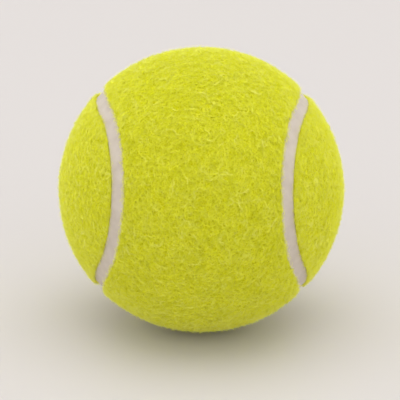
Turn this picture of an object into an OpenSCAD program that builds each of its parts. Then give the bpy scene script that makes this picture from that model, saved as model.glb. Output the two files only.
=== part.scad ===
/* [Ball] */
// Diameter of the finished ball over its nap
ball_d = 67; // [60:0.1:80]
// Angle by which the neck of the front panel is rolled up from level
cover_roll = 18; // [0:1:90]

/* [Rubber core] */
// Wall of the hollow rubber core
core_wall = 3.4; // [2.5:0.1:6]
// Thickness of the cement between the rims of the two core halves
joint_cement_t = 0.2; // [0.1:0.05:0.6]
// Radius of the bead of cement that is squeezed out inside the joint
joint_bead_r = 0.7; // [0.4:0.1:1.2]
// Thickness of the cement coat all over the core
core_cement_t = 0.2; // [0.1:0.05:0.5]

/* [Felt cover] */
// Thickness of the cement on the back of each felt panel
panel_cement_t = 0.2; // [0.1:0.05:0.5]
// Thickness of the woven cloth that backs each felt panel
backing_t = 0.6; // [0.4:0.1:1.5]
// Thickness of the raised nap on the cloth
nap_t = 2.5; // [1.8:0.1:4]
// Angle at the ball's centre across the neck of a panel, seam line to seam line
neck_angle = 70.4; // [66:0.2:76]
// Angle at the ball's centre across the round lobe of a panel, seam line to seam line
lobe_angle = 75.2; // [72:0.2:80]

/* [Seam] */
// Width of the seam rubber between the edges of the two panels
seam_w = 2.9; // [1.5:0.1:4]
// Depth of the seam rubber below the surface of the nap
seam_depth = 1.1; // [0.6:0.1:1.6]
// Height of the straight edge of the nap above the seam rubber
nap_lip = 0.25; // [0.1:0.05:0.4]
// Width over which the nap rounds down to its edge
nap_shoulder_w = 1.2; // [0.4:0.1:2]

/* [Hidden] */

$fn = 144;

// Radii of the layers, from the nap inwards
ball_r = ball_d / 2;
backing_r = ball_r - nap_t;
panel_cement_r = backing_r - backing_t;
core_cement_r = panel_cement_r - panel_cement_t;
core_r = core_cement_r - core_cement_t;
core_bore_r = core_r - core_wall;
seam_r = ball_r - seam_depth;

// Length by which a cutting shape runs past what it cuts
cut_overrun = ball_d / 4;

// The seam line is worked out for its first eighth of a turn about the axis through the necks'
// centres: a round arc about the lobe of the other panel, then a straight belt that
// reaches the level of the ball's centre an eighth of a turn from the neck.
lobe_r_angle = lobe_angle / 2;
lobe_centre_angle = (neck_angle + lobe_angle) / 2;
crossing_azimuth = 45;
across_crossing = [cos(crossing_azimuth), -sin(crossing_azimuth), 0];
lobe_centre = [sin(lobe_centre_angle), 0, cos(lobe_centre_angle)];
belt_lean = let (
        lean = lobe_centre * across_crossing,
        rise = lobe_centre.z
    )
    atan2(lean, rise) + acos(sin(lobe_r_angle) / norm([lean, rise]));
belt_normal = [0, 0, cos(belt_lean)] + sin(belt_lean) * across_crossing;
belt_start = lobe_centre - sin(lobe_r_angle) * belt_normal;
belt_azimuth = atan2(belt_start.y, belt_start.x);

// Steps round a panel's edge, and from its edge to the middle of the panel
edge_steps = 96;
cap_steps = 4;
shoulder_steps = 4;
shoulder_turn = 68;

function unit(v) = v / norm(v);
function direction(azimuth, colatitude) = [
    sin(colatitude) * cos(azimuth), sin(colatitude) * sin(azimuth), cos(colatitude)
];

// Angle from the neck's axis to the seam line on the round arc and on the straight belt
function arc_colatitude(azimuth) = let (
        across = sin(lobe_centre_angle) * cos(azimuth),
        along = cos(lobe_centre_angle)
    )
    atan2(across, along) - acos(cos(lobe_r_angle) / norm([across, along]));
function belt_colatitude(azimuth) = let (
        level = belt_normal * direction(azimuth, 90)
    )
    atan2(abs(belt_normal.z), abs(level));

// Angle from the neck's axis to the seam line at any azimuth, by the cover's symmetry
function eighth_colatitude(azimuth) =
    azimuth < belt_azimuth ? arc_colatitude(azimuth) : belt_colatitude(azimuth);
function folded(azimuth) = abs((azimuth + 90) % 180 - 90);
function seam_colatitude(azimuth) = let (f = folded(azimuth))
    f <= crossing_azimuth ? eighth_colatitude(f) : 180 - eighth_colatitude(90 - f);
function seam_direction(azimuth) = direction(azimuth, seam_colatitude(azimuth));

// Direction on the ball that lies an inset angle inside the seam line, towards the panel
function inset_direction(azimuth, inset) = let (
        here = seam_direction(azimuth),
        step = 360 / edge_steps / 4,
        along = seam_direction(azimuth + step) - seam_direction(azimuth - step + 360),
        inward = unit(cross(here, along))
    )
    here * cos(inset) + inward * sin(inset);

// Edge profile of a panel from the core outwards, as pairs of radius and inset angle
function arc_to_angle(arc, radius) = arc / radius * 180 / PI;
wall_inset = arc_to_angle(seam_w / 2, seam_r);
shoulder_inset = arc_to_angle(nap_shoulder_w, ball_r);
lip_r = seam_r + nap_lip;
shoulder_h = ball_r - lip_r;
edge_profile = [
    [core_bore_r, wall_inset],
    for (k = [0:shoulder_steps]) let (turn = k * shoulder_turn / shoulder_steps)
        [lip_r + shoulder_h * sin(turn), wall_inset + shoulder_inset * (1 - cos(turn))],
    [ball_r + shoulder_h, wall_inset + shoulder_inset],
    [ball_r + cut_overrun, wall_inset + shoulder_inset]
];
edge_rows = len(edge_profile);
rows = edge_rows + cap_steps - 1;

function cap_point(azimuth, share) = let (
        edge = inset_direction(azimuth, wall_inset + shoulder_inset)
    )
    (ball_r + cut_overrun) * direction(atan2(edge.y, edge.x), share * acos(edge.z));
function row_point(row, azimuth) = row < edge_rows
    ? edge_profile[row][0] * inset_direction(azimuth, edge_profile[row][1])
    : cap_point(azimuth, (rows - row) / cap_steps);
function corner(row, step) = row * edge_steps + step % edge_steps;

// The space that one panel takes, from the core out past the nap, with its rounded edge
module panel_space() {
    points = concat(
        [for (row = [0:rows - 1], step = [0:edge_steps - 1]) row_point(row, step * 360 / edge_steps)],
        [[0, 0, 0], [0, 0, ball_r + cut_overrun]]
    );
    inner_tip = rows * edge_steps;
    outer_tip = inner_tip + 1;
    faces = concat(
        [for (step = [0:edge_steps - 1]) [inner_tip, corner(0, step), corner(0, step + 1)]],
        [for (row = [0:rows - 2], step = [0:edge_steps - 1])
            [corner(row, step), corner(row + 1, step), corner(row + 1, step + 1)]],
        [for (row = [0:rows - 2], step = [0:edge_steps - 1])
            [corner(row, step), corner(row + 1, step + 1), corner(row, step + 1)]],
        [for (step = [0:edge_steps - 1])
            [outer_tip, corner(rows - 1, step + 1), corner(rows - 1, step)]]
    );
    polyhedron(points, faces, convexity = 6);
}

module shell(outer_r, inner_r) {
    difference() {
        sphere(r = outer_r);
        sphere(r = inner_r);
    }
}

// Turns the cover so that the front panel's neck faces the front, rolled up by its angle
module cover() {
    rotate([90 - cover_roll, 0, 0]) children();
}

// Places the rear panel, which is the front one turned half round between neck and lobe
module to_rear() {
    rotate(180, [1, 1, 0]) children();
}

module panel_layer(outer_r, inner_r) {
    intersection() {
        shell(outer_r, inner_r);
        panel_space();
    }
}

// One moulded half of the core, cut flat at its rim
module core_half() {
    difference() {
        shell(core_r, core_bore_r);
        translate([-ball_d, -ball_d, joint_cement_t / 2 - 2 * ball_d]) cube(2 * ball_d);
    }
}

module core_half_upper() {
    color([0.23, 0.22, 0.23]) core_half();
}

module core_half_lower() {
    color([0.23, 0.22, 0.23]) rotate([180, 0, 0]) core_half();
}

// The glue line between the two rims, with the bead that stands inside the bore
module core_joint_cement() {
    color([0.62, 0.55, 0.42]) {
        intersection() {
            shell(core_r, core_bore_r);
            cylinder(h = joint_cement_t, r = ball_r, center = true);
        }
        intersection() {
            sphere(r = core_bore_r);
            rotate_extrude() translate([core_bore_r, 0]) circle(r = joint_bead_r);
        }
    }
}

module core_cement_coat() {
    color([0.80, 0.76, 0.66]) cover() shell(core_cement_r, core_r);
}

module panel_cement_front() {
    color([0.85, 0.82, 0.72]) cover() panel_layer(panel_cement_r, core_cement_r);
}

module panel_cement_rear() {
    color([0.85, 0.82, 0.72]) cover() to_rear() panel_layer(panel_cement_r, core_cement_r);
}

module panel_backing_front() {
    color([0.78, 0.78, 0.42]) cover() panel_layer(backing_r, panel_cement_r);
}

module panel_backing_rear() {
    color([0.78, 0.78, 0.42]) cover() to_rear() panel_layer(backing_r, panel_cement_r);
}

module felt_nap_front() {
    color([0.80, 0.83, 0.20]) cover() panel_layer(ball_r, backing_r);
}

module felt_nap_rear() {
    color([0.80, 0.83, 0.20]) cover() to_rear() panel_layer(ball_r, backing_r);
}

// The closed band of rubber that fills the gap between the edges of the two panels
module seam_rubber() {
    color([0.82, 0.78, 0.74]) cover() difference() {
        shell(seam_r, core_cement_r);
        panel_space();
        to_rear() panel_space();
    }
}

core_half_upper();
core_half_lower();
core_joint_cement();
core_cement_coat();
panel_cement_front();
panel_cement_rear();
panel_backing_front();
panel_backing_rear();
seam_rubber();
felt_nap_front();
felt_nap_rear();
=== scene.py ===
import math

import bmesh
import bpy
import numpy as np
from mathutils import Matrix


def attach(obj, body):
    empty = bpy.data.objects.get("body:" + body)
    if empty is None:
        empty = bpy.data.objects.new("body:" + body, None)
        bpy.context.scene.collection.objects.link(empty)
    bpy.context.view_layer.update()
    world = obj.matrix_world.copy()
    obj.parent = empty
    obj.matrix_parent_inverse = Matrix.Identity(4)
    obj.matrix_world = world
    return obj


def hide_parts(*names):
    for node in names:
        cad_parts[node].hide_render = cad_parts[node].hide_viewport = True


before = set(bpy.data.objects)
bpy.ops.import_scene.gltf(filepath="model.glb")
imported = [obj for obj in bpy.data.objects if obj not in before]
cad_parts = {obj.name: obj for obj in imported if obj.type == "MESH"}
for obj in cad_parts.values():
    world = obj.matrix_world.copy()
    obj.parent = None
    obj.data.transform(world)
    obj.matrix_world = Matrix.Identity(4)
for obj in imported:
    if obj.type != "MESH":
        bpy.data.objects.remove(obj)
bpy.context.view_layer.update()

MM = 0.001
SEED = 7

# Sizes of the cover, as in the part's source
BALL_R = 33.5 * MM
COVER_ROLL = math.radians(18)
NECK_ANGLE = math.radians(70.4)
LOBE_ANGLE = math.radians(75.2)
SEAM_W = 2.9 * MM
NAP_BOTTOM_R = BALL_R - 2.5 * MM
CORE_COAT_R = BALL_R - 3.3 * MM

# The seam rubber's top lies higher than in the solids, as the fibres stand above the ball's surface
SEAM_R = BALL_R - 0.65 * MM
# The band runs on this far under the panels' edges, and is this much higher at its sides
SEAM_TUCK = 0.35 * MM
SEAM_DISH = 0.10 * MM

# The nap's edge lies this far from the seam line, and the nap rounds down to it over this radius
NAP_EDGE = SEAM_W / 2 + 0.12 * MM
SHOULDER = 1.1 * MM
# The nap's mean surface lies this far below the ball's, and the fibres reach up to it and past it
NAP_MEAN_DEPTH = 0.42 * MM
# The relief of the nap starts at this reach, far down its wall, and is full after this length
FADE_START = -1.2 * MM
FADE_LENGTH = 1.6 * MM
# The underside of the nap starts this far inside the seam line
UNDERSIDE_INSET = 2.6 * MM

# The floor lies at the ball's lowest point, and points pressed onto it keep this gap above it
FLOOR_Z = -BALL_R
FLOOR_GAP = 0.02 * MM

# Noises of the cover, each as the size of its features, an offset that sets it apart from the
# others, and its number of octaves
UNEVEN_NOISE = (9 * MM, 1.0, 2)
TUFT_NOISE = (1.9 * MM, 5.0, 2)
CURL_NOISE = (0.7 * MM, 9.0, 1)
PIT_NOISE = (1.1 * MM, 13.0, 1)
RAGGED_NOISE = (1.7 * MM, 21.0, 2)
RUBBER_NOISE = (3.5 * MM, 31.0, 2)

# How far each of them moves the surface
UNEVEN_HEIGHT = 0.10 * MM
TUFT_HEIGHT = -0.10 * MM
CURL_HEIGHT = 0.04 * MM
PIT_HEIGHT = -0.6 * MM
RAGGED_SHIFT = 0.17 * MM
RUBBER_HEIGHT = 0.05 * MM
# A pit begins where its noise passes the first of these, and is deepest where it is the second more
PIT_START = 0.30
PIT_RANGE = 0.35


def unit(v):
    return v / np.linalg.norm(v, axis=-1, keepdims=True)


def dot(a, b):
    """Dot products of two lists of vectors, row by row."""
    return np.einsum("ij,ij->i", a, b)


def direction(azimuth, colatitude):
    """Unit vectors at an angle about the z axis and an angle from it."""
    azimuth, colatitude = np.broadcast_arrays(azimuth, colatitude)
    level = np.sin(colatitude)
    parts = (level * np.cos(azimuth), level * np.sin(azimuth), np.cos(colatitude))
    return np.stack(parts, axis=-1)


def cover_to_frame(points):
    """Turns points from the cover's own axes, z through the front panel's neck and y along it."""
    turn = math.pi / 2 - COVER_ROLL
    c, s = math.cos(turn), math.sin(turn)
    return points @ np.array([[1, 0, 0], [0, c, s], [0, -s, c]])


def seam_colatitude(azimuth):
    """Angle from the neck's axis to the seam line: arcs round lobes, joined by straight belts."""
    crossing = math.pi / 4
    lobe_r = LOBE_ANGLE / 2
    lobe_at = (NECK_ANGLE + LOBE_ANGLE) / 2
    lobe = np.array([math.sin(lobe_at), 0, math.cos(lobe_at)])
    across = np.array([math.cos(crossing), -math.sin(crossing), 0])
    lean, rise = lobe @ across, lobe[2]
    turn = math.atan2(lean, rise) + math.acos(math.sin(lobe_r) / math.hypot(lean, rise))
    belt = math.cos(turn) * np.array([0, 0, 1]) + math.sin(turn) * across
    start = lobe - math.sin(lobe_r) * belt
    belt_azimuth = math.atan2(start[1], start[0])

    folded = np.abs((azimuth + math.pi / 2) % math.pi - math.pi / 2)
    eighth = np.where(folded <= crossing, folded, math.pi / 2 - folded)
    out, along = math.sin(lobe_at) * np.cos(eighth), math.cos(lobe_at)
    share = np.clip(math.cos(lobe_r) / np.hypot(out, along), -1, 1)
    arc = np.arctan2(out, along) - np.arccos(share)
    level = direction(eighth, math.pi / 2) @ belt
    straight = np.arctan2(abs(belt[2]), np.abs(level))
    angle = np.where(eighth < belt_azimuth, arc, straight)
    return np.where(folded <= crossing, angle, math.pi - angle)


def seam_line(steps):
    """Even points on the seam line, with the way along it and the way into the front panel."""
    finer = 8
    fine = np.linspace(0, 2 * math.pi, finer * steps, endpoint=False)
    points = direction(fine, seam_colatitude(fine))
    gaps = np.linalg.norm(np.roll(points, -1, 0) - points, axis=1)
    run = np.concatenate([[0], np.cumsum(gaps)])
    azimuth = np.interp(np.arange(steps) * run[-1] / steps, run, np.append(fine, 2 * math.pi))
    points = direction(azimuth, seam_colatitude(azimuth))
    along = unit(np.roll(points, -1, 0) - np.roll(points, 1, 0))
    inward = unit(np.cross(points, along))
    return points, along, inward


LINE_STEPS = 1440
LINE, ALONG, INWARD = seam_line(LINE_STEPS)
# Up to this far from the seam line the nap follows the edge of its panel
EDGE_ZONE = 8 * MM
NEAR_SEAM = math.cos(EDGE_ZONE / BALL_R)


def nearest_on_line(directions):
    """Index of the seam line's nearest point for each direction, exact only near the line."""
    coarse, chunk, margin = 20, 20000, 0.02
    best = np.empty(len(directions), int)
    for start in range(0, len(directions), chunk):
        some = directions[start : start + chunk]
        found = np.argmax(some @ LINE[::coarse].T, axis=1) * coarse
        close = np.nonzero(dot(some, LINE[found]) > NEAR_SEAM - margin)[0]
        found[close] = np.argmax(some[close] @ LINE.T, axis=1)
        best[start : start + chunk] = found
    return best


def edge_profile(reach):
    """Distance in from the panel's edge, and depth below the ball's surface, of the nap at a reach.

    The reach is measured along the nap: over the ball, round its shoulder and down its wall."""
    arc = SHOULDER * math.pi / 2
    turn = np.clip((SHOULDER - reach) / SHOULDER, 0, math.pi / 2)
    inset = np.where(reach > SHOULDER, reach, SHOULDER * (1 - np.sin(turn)))
    depth = SHOULDER * (1 - np.cos(turn)) + np.maximum(SHOULDER - arc - reach, 0)
    return inset, depth


def on_panel(directions, near, side, height=0.0, edge_shift=0.0):
    """Places directions from the ball's centre on the nap of the front (1) or rear (-1) panel.

    Directions near the seam line are led round the panel's shoulder and down its wall."""
    centre, along, inward = LINE[near], ALONG[near], INWARD[near] * side
    in_way = dot(directions, inward)
    on_way = dot(directions, along)[:, None] * along
    up_way = dot(directions, centre)
    reach = np.arctan2(in_way, up_way) * BALL_R - NAP_EDGE - edge_shift
    close = up_way > NEAR_SEAM
    inset, depth = edge_profile(reach)
    angle = (inset + NAP_EDGE + edge_shift) / BALL_R
    led = unit(centre * np.cos(angle)[:, None] + inward * np.sin(angle)[:, None] + on_way)
    placed = np.where(close[:, None], led, directions)
    depth = np.where(close, depth, 0)
    turn = np.where(close, np.clip((SHOULDER - reach) / SHOULDER, 0, math.pi / 2), 0)
    outward = placed * np.cos(turn)[:, None] - inward * np.sin(turn)[:, None]
    reach = np.where(close, reach, EDGE_ZONE)
    return placed * (BALL_R - depth)[:, None] + outward * np.reshape(height, (-1, 1)), reach


def front_side(directions):
    """True where a direction lies on the front panel's side of the seam line."""
    azimuth = np.arctan2(directions[:, 1], directions[:, 0])
    return np.arccos(np.clip(directions[:, 2], -1, 1)) < seam_colatitude(azimuth)


# The noise repeats after this many cells, a power of two
NOISE_CELLS = 256
LAST_CELL = NOISE_CELLS - 1
SLOPES = unit(np.random.default_rng(SEED).normal(size=(NOISE_CELLS, 3)))
SHUFFLE = np.random.default_rng(SEED + 1).permutation(NOISE_CELLS)


def smooth_noise(points):
    """Gradient noise of one octave, from about -1 to 1, with cells one unit wide."""
    to_full_range = 1.6
    cell = np.floor(points).astype(int)
    part = points - cell
    weight = part * part * part * (part * (part * 6 - 15) + 10)
    total = 0
    for corner in np.ndindex(2, 2, 2):
        x, y, z = (cell + corner).T & LAST_CELL
        slope = SLOPES[SHUFFLE[(SHUFFLE[(SHUFFLE[x] + y) & LAST_CELL] + z) & LAST_CELL]]
        share = np.prod(np.where(corner, weight, 1 - weight), axis=1)
        total = total + share * dot(slope, part - corner)
    return to_full_range * total


def field(points, feature, offset, octaves):
    """Noise from about -1 to 1 at each point, each octave finer and weaker than the one before."""
    apart, finer, weaker = 17.3, 2.1, 0.5
    total, scale, strength = 0, 1 / feature, 1.0
    for octave in range(octaves):
        total = total + strength * smooth_noise(points * scale + offset + apart * octave)
        scale, strength = scale * finer, strength * weaker
    return total


def new_piece(name, points, faces, material):
    """A mesh that rides on the ball, made from points and faces with the same number of corners."""
    mesh = bpy.data.meshes.new(name)
    mesh.vertices.add(len(points))
    mesh.vertices.foreach_set("co", np.ascontiguousarray(points, np.float32).ravel())
    faces = np.asarray(faces)
    mesh.loops.add(faces.size)
    mesh.loops.foreach_set("vertex_index", faces.ravel().astype(np.int32))
    mesh.polygons.add(len(faces))
    starts = np.arange(len(faces)) * faces.shape[1]
    mesh.polygons.foreach_set("loop_start", starts.astype(np.int32))
    mesh.update(calc_edges=True)
    mesh.shade_smooth()
    mesh.materials.append(material)
    piece = bpy.data.objects.new(name, mesh)
    bpy.context.scene.collection.objects.link(piece)
    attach(piece, "root")
    return piece


def ico_sphere(level):
    """Points and triangles of a sphere of radius 1, divided to a level."""
    bm = bmesh.new()
    bmesh.ops.create_icosphere(bm, subdivisions=level, radius=1)
    points = unit(np.array([v.co for v in bm.verts]))
    faces = np.array([[v.index for v in f.verts] for f in bm.faces])
    bm.free()
    return points, faces


def boundary_loop(faces):
    """The open edge of a patch of triangles, as vertex numbers in order round it."""
    edges = np.concatenate([faces[:, [0, 1]], faces[:, [1, 2]], faces[:, [2, 0]]])
    seen = {(a, b) for a, b in edges.tolist()}
    after = {a: b for a, b in seen if (b, a) not in seen}
    loop = [min(after)]
    while after[loop[-1]] != loop[0]:
        loop.append(after[loop[-1]])
    return loop


def stitch(outer, inner, points):
    """Triangles between two loops that run the same way, taken in step along their lengths."""
    first = np.argmin(np.linalg.norm(points[inner] - points[outer[0]], axis=1))
    inner = inner[first:] + inner[:first]
    faces, i, j = [], 0, 0
    while i < len(outer) or j < len(inner):
        a, b = outer[i % len(outer)], inner[j % len(inner)]
        if j == len(inner) or (i < len(outer) and i / len(outer) <= j / len(inner)):
            faces.append([a, b, outer[(i + 1) % len(outer)]])
            i += 1
        else:
            faces.append([a, b, inner[(j + 1) % len(inner)]])
            j += 1
    return faces


def part_of_sphere(points, faces, side, inside):
    """The triangles of a sphere that lie on a panel, at least a distance inside the seam line."""
    clear_of_seam = 4 * MM
    middles = unit(points[faces].mean(axis=1))
    near = nearest_on_line(middles)
    cross = np.arcsin(dot(middles, INWARD[near]))
    far = dot(middles, LINE[near]) < math.cos(clear_of_seam / BALL_R)
    sign = np.where(front_side(middles), 1, -1)
    distance = np.where(far, sign, cross * BALL_R) * side
    kept = faces[distance > inside]
    used, faces = np.unique(kept, return_inverse=True)
    return points[used], faces.reshape(-1, 3)


def nap_height(places):
    """Height of the felt's surface over its mean: soft unevenness, matted tufts and small pits."""
    uneven = field(places, *UNEVEN_NOISE) * UNEVEN_HEIGHT
    tufts = np.abs(field(places, *TUFT_NOISE)) * TUFT_HEIGHT
    curls = field(places, *CURL_NOISE) * CURL_HEIGHT
    pits = np.clip(field(places, *PIT_NOISE) - PIT_START, 0, PIT_RANGE) * PIT_HEIGHT
    return uneven + tufts + curls + pits


def edge_shift(places):
    """How far the felt's ragged edge draws back from the seam, or runs into it where negative."""
    return field(places, *RAGGED_NOISE) * RAGGED_SHIFT


def lie_on_floor(points):
    """Presses flat on the floor what would sink into it."""
    points[:, 2] = np.maximum(points[:, 2], FLOOR_Z + FLOOR_GAP)
    return points


def make_nap(name, side, sphere, coarse_sphere, material):
    """The matted body of one felt panel, as a closed mesh with a soft rounded edge."""
    directions, faces = part_of_sphere(*sphere, side, 0.0)
    loop = boundary_loop(faces)
    directions[loop] = LINE[nearest_on_line(directions[loop])]
    near = nearest_on_line(directions)
    rough, _ = on_panel(directions, near, side)
    ragged = edge_shift(rough)
    height = nap_height(rough) - NAP_MEAN_DEPTH
    _, reach = on_panel(directions, near, side, 0.0, ragged)
    fade = np.clip((reach - FADE_START) / FADE_LENGTH, 0.0, 1)
    placed, _ = on_panel(directions, near, side, height * fade, ragged)

    below, below_faces = part_of_sphere(*coarse_sphere, side, UNDERSIDE_INSET)
    below_faces = below_faces + len(placed)
    below_loop = boundary_loop(below_faces)
    foot = unit(placed[loop]) * NAP_BOTTOM_R
    points = np.concatenate([placed, below * NAP_BOTTOM_R, foot])
    feet = [len(placed) + len(below) + i for i in range(len(loop))]
    walls = []
    for i, vertex in enumerate(loop):
        follower = (i + 1) % len(loop)
        walls.append([vertex, feet[i], loop[follower]])
        walls.append([loop[follower], feet[i], feet[follower]])
    base = stitch(feet, below_loop, points)
    all_faces = np.concatenate([faces, walls, base, below_faces[:, ::-1]])
    return new_piece(name, lie_on_floor(cover_to_frame(points)), all_faces, material)


# Layers of fibres from the nap outwards, with lengths in mm. The fibres of a lock curl together,
# spread this far apart. A fibre's middle stands above the nap by its rise, and the loose share of
# them has a free end. The tilt is the mean and spread of a strip's turn about its own length, in
# radians. The last two are a paleness added to its tone as painted sheen, and the most that it
# hangs past the panel's edge.
LAYERS = (
    {"name": "deep_fibres", "pieces": 2, "fibres": 14000, "in_lock": 1, "spread": 0.0,
     "length": (2.4, 5.0), "rise": (0.04, 0.30), "loose": 0.0,
     "half_width": (0.040, 0.056), "tilt": (0.0, 0.8), "paler": 0.0, "overhang": 0.0},
    {"name": "matted_fibres", "pieces": 3, "fibres": 14000, "in_lock": 5, "spread": 0.035,
     "length": (1.8, 4.0), "rise": (0.20, 0.52), "loose": 0.02,
     "half_width": (0.024, 0.036), "tilt": (0.8, 0.7), "paler": 0.0, "overhang": 0.35},
    {"name": "strands", "pieces": 1, "fibres": 3600, "in_lock": 3, "spread": 0.05,
     "length": (3.5, 7.0), "rise": (0.40, 0.80), "loose": 0.1,
     "half_width": (0.024, 0.036), "tilt": (0.0, 0.6), "paler": 0.2, "overhang": 0.3},
    {"name": "fuzz", "pieces": 3, "fibres": 14000, "in_lock": 1, "spread": 0.0,
     "length": (1.5, 4.0), "rise": (0.40, 0.90), "loose": 0.35,
     "half_width": (0.016, 0.027), "tilt": (1.57, 0.3), "paler": 0.2, "overhang": 0.7},
)

# Points along a fibre
FIBRE_STEPS = 8
START_JITTER = 1.2
# Crimp of a lock: the spread of its bend per mm, its wave in radians and its wavelength in mm
LOCK_BEND = 0.7
LOCK_WAVE = (0.3, 1.2)
LOCK_WAVELENGTH = (1.6, 3.4)
# How the fibres of one lock differ: share of its length, phase and heading in radians, and height
LENGTH_SHARE = (0.75, 1.1)
PHASE_SPREAD = 0.35
HEADING_SPREAD = 0.12
PEAK_SPREAD = 0.03 * MM
# Fibres turn back this far inside the nap's edge, in mm
RIM_RANGE = (-0.05, 0.50)
# Fibres start this deep in the nap. A free end rises as this power of its way, to this many peaks
ROOT_DEPTH = 0.04 * MM
FREE_END_POWER = 1.5
FREE_END_HEIGHT = 1.5
# A strip has this share of its width at its tips, and widens at this rate over its way
TIP_WIDTH = 0.35
TIP_TAPER = 5
TWIST_SPREAD = 0.6
# A fibre's tone is a golden painted shade at the first of these heights over the ball's surface and
# a pale painted sheen at the second
SHADE_HEIGHT = -0.45 * MM
SHEEN_HEIGHT = 0.50 * MM
LOCK_TONE_SPREAD = 0.12
FIBRE_TONE_SPREAD = 0.05


def even_starts(count, rng):
    """Directions spread evenly over the whole ball along a golden spiral, slightly jittered."""
    number = np.arange(count) + 0.5
    level = 1 - 2 * number / count
    azimuth = number * math.pi * (3 - math.sqrt(5))
    spiral = direction(azimuth, np.arccos(level))
    turned = spiral @ np.linalg.qr(rng.normal(size=(3, 3)))[0]
    return unit(turned + rng.normal(0, START_JITTER / math.sqrt(count), (count, 3)))


def lock_starts(side, layer, rng):
    """Where the locks of a layer start on one panel, and the number of each fibre's lock."""
    locks = layer["fibres"] // layer["in_lock"]
    start = even_starts(2 * locks, rng)
    start = start[front_side(start) == (side > 0)]
    start = start[rng.permutation(len(start))][:locks]
    return start, np.repeat(np.arange(len(start)), layer["in_lock"])


def crimped_ways(start, lock, layer, rng):
    """Directions along the crimped fibres, one fibre after the other, as if the felt had no edge."""
    locks, count = len(start), len(lock)
    length, spread = np.array(layer["length"]) * MM, layer["spread"] * MM
    run = rng.uniform(*length, locks)[lock] * rng.uniform(*LENGTH_SHARE, count)
    bend = rng.normal(0, LOCK_BEND, locks)[lock] / MM
    wave = rng.uniform(*LOCK_WAVE, locks)[lock]
    wavelength = rng.uniform(*LOCK_WAVELENGTH, locks)[lock] * MM
    phase = rng.uniform(0, 2 * math.pi, locks)[lock] + rng.normal(0, PHASE_SPREAD, count)
    heading = rng.uniform(0, 2 * math.pi, locks)[lock] + rng.normal(0, HEADING_SPREAD, count)
    reach = run[:, None] * np.linspace(0, 1, FIBRE_STEPS)
    turn = heading[:, None] + bend[:, None] * reach
    turn += wave[:, None] * np.sin(2 * math.pi * reach / wavelength[:, None] + phase[:, None])
    step = run[:, None] / (FIBRE_STEPS - 1)
    any_way = np.array([0.31, 0.53, 0.79])
    first = unit(np.cross(start, any_way))
    second = np.cross(start, first)
    across = rng.normal(0, spread, (count, 1)) + np.cumsum(np.cos(turn) * step, axis=1)
    beside = rng.normal(0, spread, (count, 1)) + np.cumsum(np.sin(turn) * step, axis=1)
    sideways = across[..., None] * first[lock][:, None] + beside[..., None] * second[lock][:, None]
    return unit(start[lock][:, None] + sideways / BALL_R).reshape(-1, 3)


def turned_back(directions, near, side, rim):
    """Mirrors back directions past a panel's rim, which is given in metres inside the seam line."""
    centre, along, inward = LINE[near], ALONG[near], INWARD[near] * side
    in_way = dot(directions, inward)
    on_way = dot(directions, along)[:, None] * along
    up_way = dot(directions, centre)
    angle = np.arctan2(in_way, up_way)
    back = rim / BALL_R + np.abs(angle - rim / BALL_R)
    led = unit(centre * np.cos(back)[:, None] + inward * np.sin(back)[:, None] + on_way)
    return np.where((up_way > NEAR_SEAM)[:, None], led, directions)


def fibre_paths(side, layer, rng):
    """Centre lines of a layer's crimped fibres on one panel, with their heights and their locks."""
    start, lock = lock_starts(side, layer, rng)
    flat = crimped_ways(start, lock, layer, rng)
    locks, count = len(start), len(lock)
    near = nearest_on_line(flat)
    over = np.repeat(rng.uniform(0, layer["overhang"], count) * MM, FIBRE_STEPS)
    rim = np.repeat(NAP_EDGE + rng.uniform(*RIM_RANGE, count) * MM, FIBRE_STEPS) - over
    flat = turned_back(flat, near, side, rim)

    rise = np.array(layer["rise"]) * MM
    peak = rng.uniform(*rise, locks)[lock] + rng.normal(0, PEAK_SPREAD, count)
    free_end = rng.random(count) < layer["loose"]
    share = np.linspace(0, 1, FIBRE_STEPS)
    bow = np.sin(share * math.pi) * peak[:, None]
    free = share**FREE_END_POWER * peak[:, None] * FREE_END_HEIGHT
    lift = np.where(free_end[:, None], free, bow).ravel()
    rough, _ = on_panel(flat, near, side)
    height = nap_height(rough) - NAP_MEAN_DEPTH + lift - ROOT_DEPTH
    placed, _ = on_panel(flat, near, side, height, edge_shift(rough) - over)
    return placed.reshape(count, FIBRE_STEPS, 3), height.reshape(count, FIBRE_STEPS), lock


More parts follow.
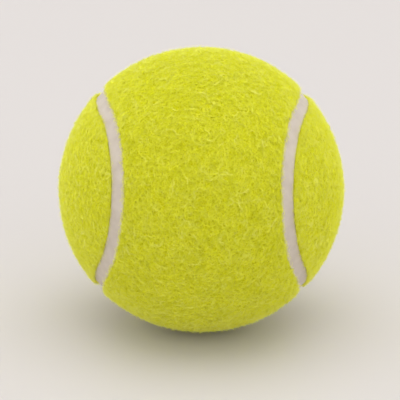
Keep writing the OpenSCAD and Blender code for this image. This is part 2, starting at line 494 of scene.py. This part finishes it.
def make_fibres(name, side, layer, rng, material):
    """One piece of fibres as fine flat strips that twist along their way, with painted sheen that
    makes them paler where they rise and painted shade that makes them golden lower down.
    """
    paths, height, lock = fibre_paths(side, layer, rng)
    count = len(paths)
    ahead = unit(np.gradient(paths, axis=1))
    aside = unit(np.cross(ahead, unit(paths)))
    up = np.cross(aside, ahead)
    share = np.linspace(0, 1, FIBRE_STEPS)
    taper = np.minimum(1, np.minimum(share, 1 - share) * TIP_TAPER + TIP_WIDTH)
    half_width = rng.uniform(*layer["half_width"], count) * MM
    radius = (half_width[:, None] * taper)[..., None]
    tilt = rng.normal(*layer["tilt"], count)[:, None]
    twist = rng.normal(0, TWIST_SPREAD, count)[:, None] * (share - 0.5)
    turn = tilt + twist
    across = aside * np.cos(turn)[..., None] + up * np.sin(turn)[..., None]
    points = np.stack([paths - across * radius, paths + across * radius], axis=2).reshape(-1, 3)
    first = np.arange(FIBRE_STEPS - 1) * 2
    strip = np.stack([first, first + 1, first + 3, first + 2], axis=1)
    faces = (strip[None] + (np.arange(count) * FIBRE_STEPS * 2)[:, None, None]).reshape(-1, 4)
    piece = new_piece(name, lie_on_floor(cover_to_frame(points)), faces, material)

    own = rng.normal(layer["paler"], LOCK_TONE_SPREAD, lock[-1] + 1)[lock]
    own = own + rng.normal(0, FIBRE_TONE_SPREAD, count)
    # Painted shade and sheen: the tone runs from golden where a fibre sinks to pale where it rises,
    # plus its own random tone
    shade_sheen_tone = np.clip((height - SHADE_HEIGHT) / (SHEEN_HEIGHT - SHADE_HEIGHT) + own[:, None], 0, 1)
    attribute = piece.data.attributes.new("shade_sheen_tone", "FLOAT", "POINT")
    attribute.data.foreach_set("value", np.repeat(shade_sheen_tone, 2).astype(np.float32))
    return piece


def make_cover_fibres(word, side, rng, material):
    """All fibres of one panel."""
    return [
        make_fibres(f"{word}_{layer['name']}_{part + 1}", side, layer, rng, material)
        for layer in LAYERS
        for part in range(layer["pieces"])
    ]


def make_seam(name, material):
    """The closed band of rubber between the panels, slightly dished and rising to its sides."""
    steps, top_points = 900, 15
    line, _, inward = seam_line(steps)
    half = SEAM_W / 2 + SEAM_TUCK
    profile = [(x * half, SEAM_R + SEAM_DISH * abs(x) ** 3) for x in np.linspace(-1, 1, top_points)]
    profile += [(half, CORE_COAT_R), (0, CORE_COAT_R), (-half, CORE_COAT_R)]
    rows = []
    for aside, radius in profile:
        angle = aside / SEAM_R
        rows.append(unit(line * math.cos(angle) + inward * math.sin(angle)) * radius)
    points = np.stack(rows, axis=1)
    top = points[:, :top_points]
    lumps = field(top.reshape(-1, 3), *RUBBER_NOISE).reshape(top.shape[:2])
    points[:, :top_points] += unit(top) * lumps[..., None] * RUBBER_HEIGHT
    round_it = len(profile)
    faces = []
    for i in range(steps):
        here, following = i * round_it, (i + 1) % steps * round_it
        for j in range(round_it):
            beside = (j + 1) % round_it
            faces.append([following + j, following + beside, here + beside, here + j])
    return new_piece(name, cover_to_frame(points.reshape(-1, 3)), faces, material)


# Colours of the felt, from between its fibres to their tips. The nap's two are darker as painted
# shade between the fibres, the first of them also painted shade between the nap's threads. The
# fibres run from a golden painted shade in the depth to a pale painted sheen at their tips.
THREAD_GAP_SHADE = (0.62, 0.60, 0.004)
OLIVE = (0.75, 0.735, 0.005)
GOLD_DEPTH_SHADE = (0.925, 0.923, 0.004)
YELLOW = (0.980, 0.992, 0.005)
BRIGHT = (0.985, 0.995, 0.02)
PALE_TIP_SHEEN = (0.990, 0.998, 0.24)

# Rubbers and cement: dark and light colour, size of the grain in mm, its depth, and roughness
SEAM_RUBBER = ((0.565, 0.49, 0.425), (0.65, 0.575, 0.505), 0.6, 0.03 * MM, 0.6)
CEMENT = ((0.45, 0.38, 0.26), (0.62, 0.55, 0.42), 1.2, 0.05 * MM, 0.45)
CORE_RUBBER = ((0.035, 0.035, 0.037), (0.07, 0.07, 0.072), 0.4, 0.05 * MM, 0.75)

CLOTH_DARK = (0.34, 0.35, 0.06)
CLOTH_LIGHT = (0.58, 0.60, 0.16)
FLOOR = (0.716, 0.677, 0.658)
BACKDROP = (0.76, 0.72, 0.684)
WHITE = (1.0, 1.0, 1.0)
BLACK = (0.0, 0.0, 0.0)

# A colour mix node keeps its colour sockets behind those for numbers and vectors
MIX_FIRST = 6
MIX_SECOND = 7
MIX_RESULT = 2


def shader(name):
    """A new material, with its node tree and its surface node."""
    material = bpy.data.materials.new(name)
    material.use_nodes = True
    tree = material.node_tree
    return material, tree, tree.nodes["Principled BSDF"]


def add(tree, kind, **values):
    """A new node, with values for its inputs or else for its own settings."""
    node = tree.nodes.new(kind)
    for key, value in values.items():
        if key in node.inputs.keys():
            node.inputs[key].default_value = value
        else:
            setattr(node, key, value)
    return node


def set_inputs(node, values):
    for key, value in values.items():
        node.inputs[key].default_value = value


def in_mm(tree):
    """Object coordinates in millimetres."""
    place = add(tree, "ShaderNodeTexCoord")
    scale = add(tree, "ShaderNodeVectorMath", operation="SCALE", Scale=1 / MM)
    tree.links.new(place.outputs["Object"], scale.inputs[0])
    return scale.outputs["Vector"]


def noise_at(tree, place, size_mm, detail=3.0, roughness=0.55):
    node = add(tree, "ShaderNodeTexNoise", Scale=1 / size_mm, Detail=detail, Roughness=roughness)
    tree.links.new(place, node.inputs["Vector"])
    return node.outputs["Fac"]


def ramp(tree, factor, stops):
    """A colour that runs evenly between stops, given as pairs of factor and colour."""
    node = tree.nodes.new("ShaderNodeValToRGB")
    elements = node.color_ramp.elements
    while len(elements) < len(stops):
        elements.new(0.5)
    for element, (at, colour) in zip(elements, stops):
        element.position = at
        element.color = (*colour, 1)
    tree.links.new(factor, node.inputs["Fac"])
    return node.outputs["Color"]


def blend_colours(tree, factor, a, b, mode="MIX"):
    """Mixes two colours, of which each is a tuple or an output, by a number or an output."""
    node = add(tree, "ShaderNodeMix", data_type="RGBA", blend_type=mode)
    sockets = (node.inputs["Factor"], node.inputs[MIX_FIRST], node.inputs[MIX_SECOND])
    for value, socket in zip((factor, a, b), sockets):
        if isinstance(value, (int, float)):
            socket.default_value = value
        elif isinstance(value, tuple):
            socket.default_value = (*value, 1)
        else:
            tree.links.new(value, socket)
    return node.outputs[MIX_RESULT]


def largest(tree, values):
    """The largest of several outputs."""
    result = values[0]
    for value in values[1:]:
        node = add(tree, "ShaderNodeMath", operation="MAXIMUM")
        tree.links.new(result, node.inputs[0])
        tree.links.new(value, node.inputs[1])
        result = node.outputs["Value"]
    return result


def bump(tree, principled, height, distance, strength=1.0):
    node = add(tree, "ShaderNodeBump", Strength=strength, Distance=distance)
    tree.links.new(height, node.inputs["Height"])
    tree.links.new(node.outputs["Normal"], principled.inputs["Normal"])


def threads(tree, place, size_mm, seed):
    """Thin curled lines, which run where a smooth noise crosses its middle."""
    width = 0.05
    noise = add(
        tree, "ShaderNodeTexNoise", noise_dimensions="4D", W=seed, Scale=1 / size_mm, Detail=1.0
    )
    tree.links.new(place, noise.inputs["Vector"])
    off = add(tree, "ShaderNodeMath", operation="SUBTRACT")
    tree.links.new(noise.outputs["Fac"], off.inputs[0])
    away = add(tree, "ShaderNodeMath", operation="ABSOLUTE")
    tree.links.new(off.outputs["Value"], away.inputs[0])
    line = add(tree, "ShaderNodeMapRange", interpolation_type="SMOOTHSTEP")
    set_inputs(line, {"From Max": width, "To Min": 1.0, "To Max": 0.0})
    tree.links.new(away.outputs["Value"], line.inputs["Value"])
    return line.outputs["Result"]


def nap_material():
    """Matted felt: curled threads over each other, with painted shade that darkens the felt between
    them.
    """
    sizes_mm, apart, thread_depth = (1.3, 1.0, 0.8, 0.6), 3.7, 0.03 * MM
    material, tree, principled = shader("felt nap")
    place = in_mm(tree)
    lines = [threads(tree, place, size, seed * apart) for seed, size in enumerate(sizes_mm)]
    height = largest(tree, lines)
    # Painted shade: the nap is darker between its threads
    colour = blend_colours(tree, height, THREAD_GAP_SHADE, OLIVE)
    tree.links.new(colour, principled.inputs["Base Color"])
    set_inputs(principled, {"Roughness": 0.95, "Specular IOR Level": 0.05})
    set_inputs(principled, {"Sheen Weight": 0.3, "Sheen Roughness": 0.3})
    bump(tree, principled, height, thread_depth)
    return material


def fibre_material():
    """Dyed fibres, with painted shade that makes them golden in the depth and painted sheen that
    makes them pale at the top, and broad patches of another yellow.
    """
    patch_mm, patch_share = 6, 0.25
    material, tree, principled = shader("felt fibre")
    shade_sheen_tone = add(tree, "ShaderNodeAttribute", attribute_name="shade_sheen_tone")
    place = in_mm(tree)
    # Painted shade in the depth and painted sheen at the tips, carried by the fibres' tone
    shade = ramp(tree, shade_sheen_tone.outputs["Fac"], [(0.0, GOLD_DEPTH_SHADE), (0.5, YELLOW), (1.0, PALE_TIP_SHEEN)])
    patches = ramp(tree, noise_at(tree, place, patch_mm), [(0.3, YELLOW), (0.75, BRIGHT)])
    colour = blend_colours(tree, patch_share, shade, patches)
    tree.links.new(colour, principled.inputs["Base Color"])
    set_inputs(principled, {"Roughness": 0.5, "Specular IOR Level": 0.9})
    set_inputs(principled, {"Sheen Weight": 0.15, "Sheen Roughness": 0.3})
    return material


def rubber_material(name, dark, light, grain_mm, depth, roughness):
    """Rubber or cement with blotches of two colours, uneven gloss and a fine grain."""
    blotch_mm, gloss_mm, gloss_range, grain_strength = 2.5, 1.5, 0.08, 0.6
    material, tree, principled = shader(name)
    place = in_mm(tree)
    colour = ramp(tree, noise_at(tree, place, blotch_mm, 5), [(0.3, dark), (0.7, light)])
    tree.links.new(colour, principled.inputs["Base Color"])
    shine = add(tree, "ShaderNodeMapRange")
    tree.links.new(noise_at(tree, place, gloss_mm), shine.inputs["Value"])
    set_inputs(shine, {"To Min": roughness - gloss_range, "To Max": roughness + gloss_range})
    tree.links.new(shine.outputs["Result"], principled.inputs["Roughness"])
    bump(tree, principled, noise_at(tree, place, grain_mm, 4), depth, grain_strength)
    return material


def cloth_material():
    """Plain woven cloth: warp and weft threads under and over each other."""
    threads_per_mm, thread_depth = 0.55, 0.15 * MM
    material, tree, principled = shader("backing cloth")
    place = in_mm(tree)
    waves = []
    for way in ("X", "Z"):
        wave = add(
            tree, "ShaderNodeTexWave", bands_direction=way, Scale=threads_per_mm, Distortion=0.4
        )
        tree.links.new(place, wave.inputs["Vector"])
        waves.append(wave.outputs["Fac"])
    height = largest(tree, waves)
    colour = ramp(tree, height, [(0.2, CLOTH_DARK), (0.9, CLOTH_LIGHT)])
    tree.links.new(colour, principled.inputs["Base Color"])
    set_inputs(principled, {"Roughness": 0.9})
    bump(tree, principled, height, thread_depth)
    return material


def make_camera():
    """The photograph's camera, as worked out from the ball's place, size and seams in it."""
    # The front panel's neck faces the camera
    elevation = COVER_ROLL
    azimuth = math.radians(-0.61)
    roll = math.radians(0.6)
    distance = 14 * BALL_R
    ball_px = 141.35
    off_axis_px = (1.3, 10.5)
    frame_px = 400
    focal_px = ball_px / math.tan(math.asin(BALL_R / distance))
    data = bpy.data.cameras.new("camera")
    data.sensor_width = 36
    data.lens = focal_px / frame_px * data.sensor_width
    data.clip_start, data.clip_end = 0.01, 50
    camera = bpy.data.objects.new("camera", data)
    bpy.context.scene.collection.objects.link(camera)
    out = distance * math.cos(elevation)
    up = distance * math.sin(elevation)
    camera.location = (out * math.sin(azimuth), -out * math.cos(azimuth), up)
    aim_left = math.atan(off_axis_px[0] / focal_px)
    aim_down = math.atan(off_axis_px[1] / focal_px)
    turn = Matrix.Rotation(azimuth + aim_left, 3, "Z")
    tip = Matrix.Rotation(math.pi / 2 - elevation - aim_down, 3, "X")
    camera.rotation_euler = (turn @ tip @ Matrix.Rotation(roll, 3, "Z")).to_euler()
    bpy.context.scene.camera = camera


def make_floor():
    half = 4.0
    corners = [(-half, -half, 0), (half, -half, 0), (half, half, 0), (-half, half, 0)]
    mesh = bpy.data.meshes.new("floor")
    mesh.from_pydata(corners, [], [(0, 1, 2, 3)])
    material, _, principled = shader("floor")
    set_inputs(principled, {"Base Color": (*FLOOR, 1)})
    set_inputs(principled, {"Roughness": 0.45, "Specular IOR Level": 0.15})
    mesh.materials.append(material)
    floor = bpy.data.objects.new("floor", mesh)
    floor.location.z = FLOOR_Z
    bpy.context.scene.collection.objects.link(floor)


# Light of the studio, as pairs of elevation in degrees and strength: softboxes over the ball and at
# its sides, a brighter one in front of it, and a low strip of light round its sides and back
DOME = ((14, 0.0), (18, 0.68), (57, 0.68), (63, 1.98))
FRONT = ((4, 0.0), (8, 1.24), (50, 1.24), (63, 1.98))
STRIP = ((0, 2.5), (12, 2.5), (17, 0.0))
# Each light fades to the next between two places on the way from the front, -1, to the back, 1
PAST_FRONT = (-0.75, -0.35)
BEHIND = (0.50, 0.80)


def by_elevation(tree, rise, stops):
    """A strength that runs evenly between stops, pairs of elevation in degrees and strength."""
    greys = [(math.sin(math.radians(angle)), (strength,) * 3) for angle, strength in stops]
    return ramp(tree, rise, greys)


def side_mask(tree, backward, start, end):
    """Goes from 0 to 1 as a direction turns from start to end on the way from front to back."""
    mask = add(tree, "ShaderNodeMapRange", interpolation_type="SMOOTHSTEP")
    set_inputs(mask, {"From Min": start, "From Max": end})
    tree.links.new(backward, mask.inputs["Value"])
    return mask.outputs["Result"]


def make_light():
    """Soft light on the ball from boxes out of sight, before a plain backdrop that is seen."""
    world = bpy.data.worlds.new("studio")
    bpy.context.scene.world = world
    world.use_nodes = True
    tree = world.node_tree
    toward = add(tree, "ShaderNodeTexCoord")
    axes = add(tree, "ShaderNodeSeparateXYZ")
    tree.links.new(toward.outputs["Generated"], axes.inputs["Vector"])
    dome = by_elevation(tree, axes.outputs["Z"], DOME)
    front = by_elevation(tree, axes.outputs["Z"], FRONT)
    strip = by_elevation(tree, axes.outputs["Z"], STRIP)
    past_front = side_mask(tree, axes.outputs["Y"], *PAST_FRONT)
    behind = side_mask(tree, axes.outputs["Y"], *BEHIND)
    boxes = blend_colours(tree, past_front, front, blend_colours(tree, behind, dome, BLACK))
    strip = blend_colours(tree, past_front, BLACK, strip)
    light = blend_colours(tree, 1.0, boxes, strip, "ADD")
    sky = tree.nodes["Background"]
    set_inputs(sky, {"Color": (*WHITE, 1)})
    tree.links.new(light, sky.inputs["Strength"])
    seen = add(tree, "ShaderNodeBackground", Color=(*BACKDROP, 1))
    path = add(tree, "ShaderNodeLightPath")
    rays = ("Is Camera Ray", "Is Transmission Ray", "Is Glossy Ray")
    shown = largest(tree, [path.outputs[ray] for ray in rays])
    mix = add(tree, "ShaderNodeMixShader")
    tree.links.new(shown, mix.inputs["Fac"])
    tree.links.new(sky.outputs["Background"], mix.inputs[1])
    tree.links.new(seen.outputs["Background"], mix.inputs[2])
    tree.links.new(mix.outputs["Shader"], tree.nodes["World Output"].inputs["Surface"])


NAP_LEVEL = 8
UNDERSIDE_LEVEL = 5
nap_sphere = ico_sphere(NAP_LEVEL)
underside_sphere = ico_sphere(UNDERSIDE_LEVEL)

nap_look = nap_material()
fibre_look = fibre_material()
seam_look = rubber_material("seam rubber", *SEAM_RUBBER)
cement_look = rubber_material("cement", *CEMENT)
core_look = rubber_material("core rubber", *CORE_RUBBER)
cloth_look = cloth_material()

rng = np.random.default_rng(SEED)
for side, word in ((1, "front"), (-1, "rear")):
    nap = make_nap(f"{word}_felt_nap", side, nap_sphere, underside_sphere, nap_look)
    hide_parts(f"felt_nap_{word}")
    fibres = make_cover_fibres(word, side, rng, fibre_look)
seam = make_seam("seam_band", seam_look)
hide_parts("seam_rubber")

LOOKS = {
    "core_half_upper": core_look,
    "core_half_lower": core_look,
    "core_joint_cement": cement_look,
    "core_cement_coat": cement_look,
    "panel_cement_front": cement_look,
    "panel_cement_rear": cement_look,
    "panel_backing_front": cloth_look,
    "panel_backing_rear": cloth_look,
}
for node, look in LOOKS.items():
    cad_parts[node].data.materials.clear()
    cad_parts[node].data.materials.append(look)

make_camera()
make_floor()
make_light()
bpy.context.scene.view_settings.view_transform = "Standard"
